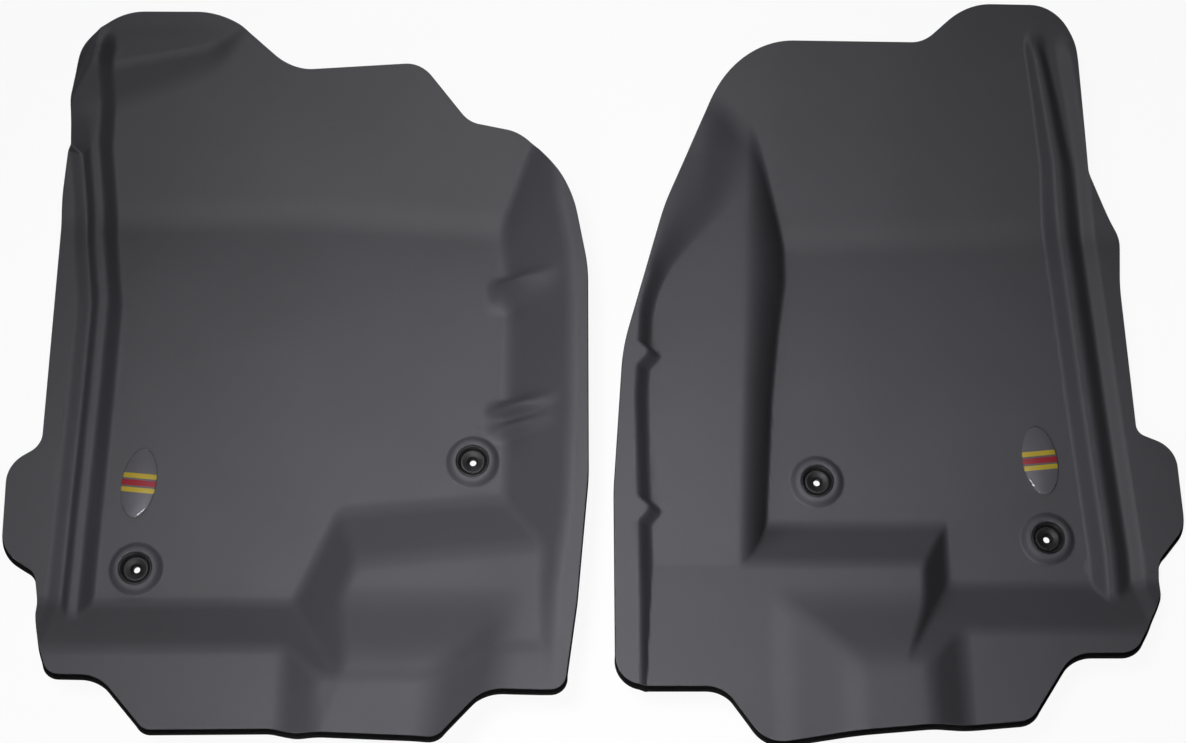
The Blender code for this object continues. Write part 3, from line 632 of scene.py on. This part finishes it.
def make_sheet(liner, name, plan, layer):
    """A closed sheet under the moulded surface. layer gives its depths, its beads and its edge."""
    places, faces, rims, holes = plan
    u, v = places.T
    depth_top, depth_bottom, with_beads, drops, tilts, edge_rows = layer
    plain_u, plain_v = liner.slopes(u, v, False)
    steep = np.minimum(np.sqrt(1 + plain_u ** 2 + plain_v ** 2), STEEPEST_THICKENING)
    upper = liner.surface(u, v, with_beads) - depth_top * steep
    lower = np.maximum(liner.surface(u, v, False) - depth_bottom * steep, FLOOR_TOP - depth_bottom)
    slope_u, slope_v = liner.slopes(u, v, with_beads)
    up = np.column_stack([-slope_u, -slope_v, np.ones(len(u))])
    up /= np.linalg.norm(up, axis=1)[:, None]
    down = np.column_stack([plain_u, plain_v, -np.ones(len(u))])
    outer = flat_normals(liner.normals)
    for rim, drop, tilt in zip(rims, drops, tilts):
        upper[rim] -= drop
        up[rim] = up[rim] * math.cos(math.radians(tilt)) + outer * math.sin(math.radians(tilt))
    sheet = Sheet()
    top = sheet.add_points(np.column_stack([u, v, upper]))
    bottom = sheet.add_points(np.column_stack([u, v, lower]))
    corners = places[faces]
    turn = np.cross(corners[:, 1] - corners[:, 0], corners[:, 2] - corners[:, 0])
    faces = np.where(turn[:, None] > 0, faces, faces[:, ::-1])
    sheet.add_faces(top[faces], up[faces])
    sheet.add_faces(bottom[faces[:, ::-1]], down[faces[:, ::-1]])
    edge = rims[0]
    rows = [top[edge]]
    flare = EDGE_REACH + REAR_FLARE * np.maximum(-liner.normals[:, 1], 0.0)
    for share, reach in edge_rows:
        spot = places[edge] + liner.normals * (reach * flare)[:, None]
        height = upper[edge] * (1 - share) + lower[edge] * share
        rows.append(sheet.add_points(np.column_stack([spot, height])))
    rows.append(bottom[edge])
    area = np.sum(np.cross(places[edge], np.roll(places[edge], -1, axis=0)))
    sheet.add_wall(rows, [outer] * len(rows), area < 0)
    for hole, centre in zip(holes, liner.grommets.values()):
        inward = flat_normals(centre - places[hole])
        sheet.add_wall([top[hole], bottom[hole]], [inward, inward], True)
    points = np.vstack(sheet.points)
    x, y = liner.world(points[:, 0], points[:, 1])
    sheet.points = [np.column_stack([x, y, points[:, 2]])]
    if liner.hand < 0:
        sheet.faces = [group[:, ::-1] for group in sheet.faces]
        sizes = [group.shape[1] for group in sheet.faces]
        sheet.normals = [
            group.reshape(-1, size, 3)[:, ::-1].reshape(-1, 3) * (-1, 1, 1)
            for group, size in zip(sheet.normals, sizes)]
    return sheet.mesh(name)


def add_piece(name, mesh, body, slot, material, *nodes):
    """A piece of the visual model that stands for CAD nodes and moves with a body."""
    piece = bpy.data.objects.new(name, mesh)
    bpy.context.scene.collection.objects.link(piece)
    mesh.materials.clear()
    mesh.materials.append(material)
    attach(piece, body)
    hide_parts(*nodes)
    return piece


def filleted(profile):
    """A closed profile of (radius, height, fillet) corners with an arc in place of each fillet."""
    points = []
    for index, (radius, height, fillet) in enumerate(profile):
        tip = Vector((radius, height))
        back = Vector(profile[index - 1][:2]) - tip
        ahead = Vector(profile[(index + 1) % len(profile)][:2]) - tip
        turn = math.pi - back.angle(ahead)
        if fillet == 0 or turn < math.radians(LEAST_TURN_DEG):
            points.append(tip)
            continue
        setback = min(fillet * math.tan(turn / 2), ARC_SHARE * back.length, ARC_SHARE * ahead.length)
        start = tip + back.normalized() * setback
        end = tip + ahead.normalized() * setback
        handle = 4 / 3 * math.tan(turn / 4) / math.tan(turn / 2)
        knots = (start, start.lerp(tip, handle), end.lerp(tip, handle), end)
        points.extend(interpolate_bezier(*(knot.to_3d() for knot in knots), FILLET_POINTS))
    return [(point[0], point[1]) for point in points]


def turned(profile, place):
    """A bmesh in millimetres: a closed profile turned about the upright axis through its place."""
    bm = bmesh.new()
    points = filleted(profile)
    rings = []
    for step in range(RING_SEGMENTS):
        angle = 2 * math.pi * step / RING_SEGMENTS
        across = (math.cos(angle), math.sin(angle))
        rings.append([
            bm.verts.new((place[0] + radius * across[0], place[1] + radius * across[1], height))
            for radius, height in points])
    for first, second in zip(rings, rings[1:] + rings[:1]):
        for index in range(len(points)):
            after = (index + 1) % len(points)
            bm.faces.new((first[index], second[index], second[after], first[after]))
    bmesh.ops.recalc_face_normals(bm, faces=bm.faces)
    return bm


def bevelled_box(size, centre, place):
    bm = bmesh.new()
    shift = Vector((place[0], place[1], 0.0)) + Vector(centre)
    bmesh.ops.create_cube(bm, size=1.0, matrix=Matrix.Translation(shift) @ Matrix.Diagonal((*size, 1.0)))
    bmesh.ops.bevel(
        bm, geom=list(bm.edges), offset=BOX_ROUNDING, segments=2, profile=0.5, affect="EDGES")
    return bm


def mesh_from(bm, name):
    """A smooth-shaded mesh in metres from a bmesh in millimetres."""
    bmesh.ops.scale(bm, vec=(MM, MM, MM), verts=bm.verts)
    mesh = bpy.data.meshes.new(name)
    bm.to_mesh(mesh)
    bm.free()
    mesh.shade_smooth()
    mesh.set_sharp_from_angle(angle=math.radians(SHARP_ANGLE_DEG))
    return mesh


def combined(name, base, changes):
    """The mesh of a bmesh after adding or cutting away others."""
    work = bpy.data.objects.new(name + "_work", mesh_from(base, name + "_work"))
    bpy.context.scene.collection.objects.link(work)
    tools = [work]
    for operation, bm in changes:
        tool = bpy.data.objects.new(name + "_tool", mesh_from(bm, name + "_tool"))
        bpy.context.scene.collection.objects.link(tool)
        boolean = work.modifiers.new("combine", "BOOLEAN")
        boolean.operation = operation
        boolean.object = tool
        boolean.solver = "EXACT"
        tools.append(tool)
    mesh = bpy.data.meshes.new_from_object(work.evaluated_get(bpy.context.evaluated_depsgraph_get()))
    mesh.name = name
    for tool in tools:
        bpy.data.meshes.remove(tool.data)
    mesh.shade_smooth()
    mesh.set_sharp_from_angle(angle=math.radians(SHARP_ANGLE_DEG))
    return mesh


def cup_profile():
    return (
        (LIP_RADIUS, LIP_TOP, 0.8),
        (LIP_RADIUS, LIP_BOTTOM, 0.2),
        (BARREL_RADIUS, LIP_BOTTOM, 0.0),
        (BARREL_RADIUS, BARB_TOP, 0.0),
        (BARREL_RADIUS + BARB_REACH, BARB_TOP, 0.2),
        (BARREL_RADIUS, GROUND_CLEARANCE, 0.2),
        (CUP_INNER_RADIUS, GROUND_CLEARANCE, 0.2),
        (CUP_INNER_RADIUS, LEDGE_BOTTOM, 0.0),
        (LEDGE_RADIUS, LEDGE_BOTTOM, 0.2),
        (LEDGE_RADIUS, LEDGE_TOP, 0.2),
        (CUP_INNER_RADIUS, LEDGE_TOP, 0.0),
        (CUP_INNER_RADIUS, LIP_TOP - CUP_MOUTH_DEPTH, 0.8),
        (MOUTH_RADIUS, LIP_TOP, 0.5))


def lock_ring_profile():
    return (
        (HOLE_RADIUS, RING_TOP, 0.3),
        (RING_RADIUS, RING_TOP, 0.3),
        (RING_RADIUS, RING_BOTTOM, 0.6),
        (HOLE_RADIUS, RING_BOTTOM, 0.3))


def plug_profile():
    return (
        (FUNNEL_RADIUS, PLUG_TOP - DISH_DEPTH, 0.5),
        (PLUG_RADIUS - PLUG_RIM, PLUG_TOP, 0.8),
        (PLUG_RADIUS, PLUG_TOP, 0.5),
        (PLUG_RADIUS, DISC_BOTTOM, 0.2),
        (STEM_RADIUS, DISC_BOTTOM, 0.0),
        (STEM_RADIUS, STEM_BOTTOM, 0.4),
        (STUD_HOLE_RADIUS, STEM_BOTTOM, 0.4),
        (STUD_HOLE_RADIUS, PLUG_TOP - FUNNEL_DEPTH, 0.6))


def add_grommet(liner, side, looks):
    """Cup, lock ring and plug of one grommet."""
    place = liner.world(*liner.grommets[side])
    prefix = f"{liner.name}_{side}_"
    slot_size = (2 * (LUG_REACH + PLUG_RUNNING_GAP), LUG_WIDTH + 2 * PLUG_RUNNING_GAP, 2 * LEDGE_THICKNESS)
    slot_centre = (0.0, 0.0, (LEDGE_BOTTOM + LEDGE_TOP) / 2)
    cup = combined(
        prefix + "cup", turned(cup_profile(), place),
        [("DIFFERENCE", bevelled_box(slot_size, slot_centre, place))])
    body = liner.name + "_mat"
    add_piece(prefix + "cup", cup, body, "grommet_nylon", looks["grommet"], prefix + "grommet_cup")
    ring_mesh = mesh_from(turned(lock_ring_profile(), place), prefix + "ring")
    add_piece(prefix + "ring", ring_mesh, body, "grommet_nylon", looks["grommet"], prefix + "lock_ring")
    lug_root = (STUD_HOLE_RADIUS + STEM_RADIUS) / 2
    lug_size = (LUG_WIDTH, LUG_REACH - lug_root, LUG_THICKNESS)
    notch_size = (NOTCH_WIDTH, 2 * NOTCH_DEPTH, 2 * NOTCH_DEPTH)
    changes = []
    for sign in (1, -1):
        lug_centre = (0.0, sign * (LUG_REACH + lug_root) / 2, (LUG_BOTTOM + LUG_TOP) / 2)
        changes.append(("UNION", bevelled_box(lug_size, lug_centre, place)))
        notch_centre = (0.0, sign * PLUG_RADIUS, PLUG_TOP)
        changes.append(("DIFFERENCE", bevelled_box(notch_size, notch_centre, place)))
    plug = combined(prefix + "button", turned(plug_profile(), place), changes)
    add_piece(prefix + "button", plug, prefix + "plug", "plug_nylon", looks["plug"], prefix + "plug")


def oval_mesh(name, rows, place, lean):
    """A closed oval body from rows of (scale, inset, height), from the bottom up to the top."""
    bm = bmesh.new()
    rings = []
    turn = Matrix.Rotation(lean, 3, "Z")
    for scale, inset, height in rows:
        across = (BADGE_WIDTH / 2 - inset) * scale
        along = (BADGE_LENGTH / 2 - inset) * scale
        loop = []
        for step in range(RING_SEGMENTS):
            angle = 2 * math.pi * step / RING_SEGMENTS
            spot = turn @ Vector((across * math.cos(angle), along * math.sin(angle), height))
            loop.append(bm.verts.new(spot + Vector((place[0], place[1], 0.0))))
        rings.append(loop)
    for first, second in zip(rings, rings[1:]):
        for index in range(RING_SEGMENTS):
            after = (index + 1) % RING_SEGMENTS
            bm.faces.new((first[index], first[after], second[after], second[index]))
    bm.faces.new(rings[0][::-1])
    bm.faces.new(rings[-1])
    bmesh.ops.recalc_face_normals(bm, faces=bm.faces)
    return mesh_from(bm, name)


def add_badge(liner, looks):
    """Printed oval plate under its clear dome."""
    place = liner.world(*liner.badge)
    lean = -liner.hand * math.radians(BADGE_LEAN_DEG)
    plate_top = PLATE_BOTTOM + PLATE_THICKNESS
    plate_rows = (
        (1.0, PLATE_ROUNDING, PLATE_BOTTOM),
        (1.0, 0.0, PLATE_BOTTOM + PLATE_ROUNDING),
        (1.0, 0.0, plate_top - PLATE_ROUNDING),
        (1.0, PLATE_ROUNDING / 3, plate_top - PLATE_ROUNDING / 3),
        (1.0, PLATE_ROUNDING, plate_top))
    dome_bottom = plate_top + FIT_GAP
    shoulder = dome_bottom + DOME_EDGE
    rise = DOME_HEIGHT - DOME_EDGE - DOME_CROWN
    dome_rows = [
        (1.0, DOME_FOOT_ROUNDING, dome_bottom), (1.0, 0.0, dome_bottom + DOME_FOOT_ROUNDING),
        (1.0, 0.0, shoulder)]
    for step in range(1, DOME_STEPS + 1):
        angle = math.pi / 2 * step / DOME_STEPS
        dome_rows.append((1.0, DOME_ROUNDING * (1 - math.cos(angle)), shoulder + rise * math.sin(angle)))
    for step in range(1, DOME_STEPS):
        scale = 1 - step / DOME_STEPS
        dome_rows.append((scale, DOME_ROUNDING, shoulder + rise + DOME_CROWN * (1 - scale * scale)))
    body = liner.name + "_mat"
    prefix = liner.name + "_badge_"
    plate = oval_mesh(prefix + "base", plate_rows, place, lean)
    printed = print_look(liner.name, place, lean)
    add_piece(prefix + "base", plate, body, "badge_print", printed, prefix + "plate")
    dome = oval_mesh(prefix + "lens", dome_rows, place, lean)
    add_piece(prefix + "lens", dome, body, "badge_resin", looks["resin"], prefix + "dome")


class Look:
    """A node material under construction."""

    def __init__(self, name):
        self.material = bpy.data.materials.new(name)
        self.material.use_nodes = True
        self.tree = self.material.node_tree
        self.shader = self.tree.nodes["Principled BSDF"]
        self.output = self.tree.nodes["Material Output"]
        self.place = self.node("TexCoord").outputs["Object"]

    def node(self, kind, settings=None, **inputs):
        """A shader node with its settings, and its inputs as values or as sockets to link."""
        made = self.tree.nodes.new("ShaderNode" + kind)
        for key, value in (settings or {}).items():
            setattr(made, key, value)
        for key, value in inputs.items():
            self.plug(made.inputs[key.replace("_", " ")], value)
        return made

    def plug(self, socket, value):
        if isinstance(value, bpy.types.NodeSocket):
            self.tree.links.new(value, socket)
        else:
            socket.default_value = value

    def noise(self, cell, detail=2.0, distortion=0.0):
        """Noise whose features are about one cell wide, in millimetres."""
        made = self.node(
            "TexNoise", Vector=self.place, Scale=1 / (cell * MM), Detail=detail, Distortion=distortion)
        return made.outputs["Fac"]

    def between(self, value, low, high, spread=0.2):
        """A value around one half carried over to the range from low to high."""
        made = self.node(
            "MapRange", Value=value, From_Min=0.5 - spread, From_Max=0.5 + spread, To_Min=low, To_Max=high)
        return made.outputs["Result"]

    def ramp(self, value, stops, interpolation="LINEAR"):
        made = self.node("ValToRGB", Fac=value)
        made.color_ramp.interpolation = interpolation
        elements = made.color_ramp.elements
        while len(elements) < len(stops):
            elements.new(1.0)
        for element, (position, colour) in zip(elements, stops):
            element.position = position
            element.color = (*colour, 1.0)
        return made.outputs["Color"]

    def bump(self, height, depth, strength, under=None):
        inputs = {"Height": height, "Distance": depth * MM, "Strength": strength}
        if under:
            inputs["Normal"] = under
        return self.node("Bump", **inputs).outputs["Normal"]

    def finish(self, **inputs):
        for key, value in inputs.items():
            self.plug(self.shader.inputs[key.replace("_", " ")], value)
        return self.material


def rubber_look():
    look = Look("rubber_skin")
    cloud = look.noise(140.0, 3.0)
    grain = look.noise(0.9, 2.0)
    wave = look.noise(26.0, 1.0)
    colour = look.ramp(cloud, ((0.3, RUBBER_DARK), (0.7, RUBBER_LIGHT)))
    normal = look.bump(grain, 0.12, 0.35, look.bump(wave, 0.5, 0.12))
    return look.finish(
        Base_Color=colour, Roughness=look.between(grain, 0.6, 0.7), Specular_IOR_Level=0.7, Normal=normal)


def felt_look():
    look = Look("felt_backing")
    fibre = look.noise(1.6, 4.0, distortion=1.5)
    tuft = look.noise(7.0, 2.0)
    colour = look.ramp(fibre, ((0.25, FELT_DARK), (0.75, FELT_LIGHT)))
    normal = look.bump(fibre, 0.8, 0.8, look.bump(tuft, 0.8, 0.4))
    return look.finish(
        Base_Color=colour, Roughness=look.between(tuft, 0.9, 1.0), Specular_IOR_Level=0.05, Sheen_Weight=0.03,
        Normal=normal)


def nylon_look(name, dark, light, roughness):
    look = Look(name)
    spark = look.noise(0.5, 2.0)
    flow = look.noise(9.0, 2.0, distortion=0.6)
    colour = look.ramp(flow, ((0.3, dark), (0.7, light)))
    return look.finish(
        Base_Color=colour, Roughness=look.between(flow, roughness - 0.06, roughness + 0.06),
        Specular_IOR_Level=0.45, Normal=look.bump(spark, 0.05, 0.4))


def print_look(name, place, lean):
    """Plain crosswise stripes on silver-grey card."""
    look = Look(name + "_badge_print")
    centred = look.node(
        "Mapping", {"vector_type": "TEXTURE"}, Vector=look.place,
        Location=(place[0] * MM, place[1] * MM, 0.0), Rotation=(0.0, 0.0, lean))
    along = look.node("SeparateXYZ", Vector=centred.outputs["Vector"]).outputs["Y"]
    half = BADGE_LENGTH / 2 * MM
    share = look.node("MapRange", Value=along, From_Min=-half, From_Max=half).outputs["Result"]
    colour = look.ramp(share, BADGE_STRIPES, "CONSTANT")
    fleck = look.noise(0.4, 1.0)
    return look.finish(
        Base_Color=colour, Roughness=look.between(fleck, 0.35, 0.55), Normal=look.bump(fleck, 0.02, 0.3))


def resin_look():
    """Clear glossy resin that lets the light through to the print."""
    look = Look("badge_resin")
    ripple = look.noise(6.0, 1.0)
    shine = look.node(
        "BsdfGlossy", Color=(1.0, 1.0, 1.0, 1.0), Roughness=look.between(ripple, 0.06, 0.12),
        Normal=look.bump(ripple, 0.02, 0.3))
    clear = look.node("BsdfTransparent", Color=(0.93, 0.93, 0.95, 1.0))
    edge = look.node("Fresnel", IOR=1.5)
    mixed = look.node("MixShader", Fac=edge.outputs["Fac"])
    look.tree.links.new(clear.outputs["BSDF"], mixed.inputs[1])
    look.tree.links.new(shine.outputs["BSDF"], mixed.inputs[2])
    look.tree.links.new(mixed.outputs["Shader"], look.output.inputs["Surface"])
    look.tree.nodes.remove(look.shader)
    return look.material


def add_floor():
    bm = bmesh.new()
    bmesh.ops.create_grid(bm, x_segments=1, y_segments=1, size=FLOOR_SIZE / 2)
    mesh = bpy.data.meshes.new("studio_floor")
    bm.to_mesh(mesh)
    bm.free()
    floor = bpy.data.objects.new("studio_floor", mesh)
    bpy.context.scene.collection.objects.link(floor)
    look = Look("studio_white")
    tint = look.ramp(look.noise(300.0, 2.0), ((0.3, FLOOR_DARK), (0.7, FLOOR_LIGHT)))
    matt = look.node("BsdfDiffuse", Color=tint)
    glow = look.node("Emission", Color=(1.0, 1.0, 1.0, 1.0), Strength=1.0)
    seen = look.node("LightPath").outputs["Is Camera Ray"]
    share = look.node("MapRange", Value=seen, To_Max=FLOOR_GLOW).outputs["Result"]
    mixed = look.node("MixShader", Fac=share)
    look.tree.links.new(matt.outputs["BSDF"], mixed.inputs[1])
    look.tree.links.new(glow.outputs["Emission"], mixed.inputs[2])
    look.tree.links.new(mixed.outputs["Shader"], look.output.inputs["Surface"])
    look.tree.nodes.remove(look.shader)
    mesh.materials.append(look.material)


def set_world():
    world = bpy.data.worlds.new("studio")
    world.use_nodes = True
    tree = world.node_tree
    light = tree.nodes["Background"]
    light.inputs["Color"].default_value = (1.0, 1.0, 1.0, 1.0)
    level = tree.nodes.new("ShaderNodeMapRange")
    level.inputs["To Min"].default_value = WORLD_LIGHT
    level.inputs["To Max"].default_value = 1.0
    tree.links.new(tree.nodes.new("ShaderNodeLightPath").outputs["Is Camera Ray"], level.inputs["Value"])
    tree.links.new(level.outputs["Result"], light.inputs["Strength"])
    bpy.context.scene.world = world


def add_lamp(name, place, aim, size, spread_deg, watts):
    data = bpy.data.lights.new(name, "AREA")
    data.shape = "DISK"
    data.size = size
    data.spread = math.radians(spread_deg)
    data.energy = watts
    lamp = bpy.data.objects.new(name, data)
    lamp.location = place
    lamp.rotation_euler = (Vector(aim) - Vector(place)).to_track_quat("-Z", "Y").to_euler()
    bpy.context.scene.collection.objects.link(lamp)


def add_camera():
    data = bpy.data.cameras.new("camera")
    data.sensor_fit = "HORIZONTAL"
    data.sensor_width = SENSOR_WIDTH
    data.lens = SENSOR_WIDTH * FOCAL_PIXELS / PHOTO_WIDTH
    data.clip_end = VIEW_REACH
    camera = bpy.data.objects.new("camera", data)
    lift = math.radians(VIEW_ELEVATION_DEG)
    aim = Vector(VIEW_TARGET)
    camera.location = aim + VIEW_DISTANCE * Vector((0.0, -math.cos(lift), math.sin(lift)))
    camera.rotation_euler = (aim - camera.location).to_track_quat("-Z", "Y").to_euler()
    bpy.context.scene.collection.objects.link(camera)
    bpy.context.scene.camera = camera


def make_liners():
    from_wall = BEAD_FOOT_RADIUS + BEAD_WALL_CLEARANCE
    driver = Liner(
        "driver", 1, driver_corners(), driver_relief,
        {"inboard": (DRIVER_FLOOR_WIDTH - from_wall, DRIVER_INBOARD_V),
         "outboard": (DRIVER_OUTBOARD_U, from_wall)},
        DRIVER_BADGE)
    passenger = Liner(
        "passenger", -1, passenger_corners(), passenger_relief,
        {"inboard": (PASSENGER_FLOOR_WIDTH - from_wall, PASSENGER_INBOARD_V),
         "outboard": PASSENGER_OUTBOARD},
        PASSENGER_BADGE)
    return driver, passenger


def add_liner(liner, looks):
    body = liner.name + "_mat"
    tilts = RIM_ANGLES_DEG
    insets = [RIM_RADIUS * (1 - math.sin(math.radians(tilt))) for tilt in tilts]
    drops = [RIM_RADIUS * (1 - math.cos(math.radians(tilt))) for tilt in tilts]
    plan = liner.plan(SKIN_CELLS, insets, HOLE_RADIUS, BEAD_RINGS)
    layer = (0.0, FLOOR_TOP - SKIN_BOTTOM, True, drops, tilts, ())
    skin = make_sheet(liner, liner.name + "_skin", plan, layer)
    add_piece(liner.name + "_skin", skin, body, "rubber_skin", looks["rubber"], liner.name + "_mat_skin")
    plan = liner.plan(BACKING_CELLS, (0.0,), POCKET_RADIUS, ())
    layer = (FLOOR_TOP - BACKING_THICKNESS, FLOOR_TOP, False, (0.0,), (0.0,), BACKING_EDGE)
    backing = make_sheet(liner, liner.name + "_backing", plan, layer)
    add_piece(
        liner.name + "_backing", backing, body, "felt_backing", looks["felt"], liner.name + "_mat_backing")
    for side in liner.grommets:
        add_grommet(liner, side, looks)
    add_badge(liner, looks)


def main():
    looks = {
        "rubber": rubber_look(),
        "felt": felt_look(),
        "grommet": nylon_look("grommet_nylon", NYLON_DARK, NYLON_LIGHT, 0.42),
        "plug": nylon_look("plug_nylon", NYLON_DARK, NYLON_LIGHT, 0.5),
        "resin": resin_look(),
    }
    add_camera()
    for liner in make_liners():
        add_liner(liner, looks)
    add_floor()
    set_world()
    for lamp in LAMPS:
        add_lamp(*lamp)
    bpy.context.scene.view_settings.view_transform = "Standard"


main()
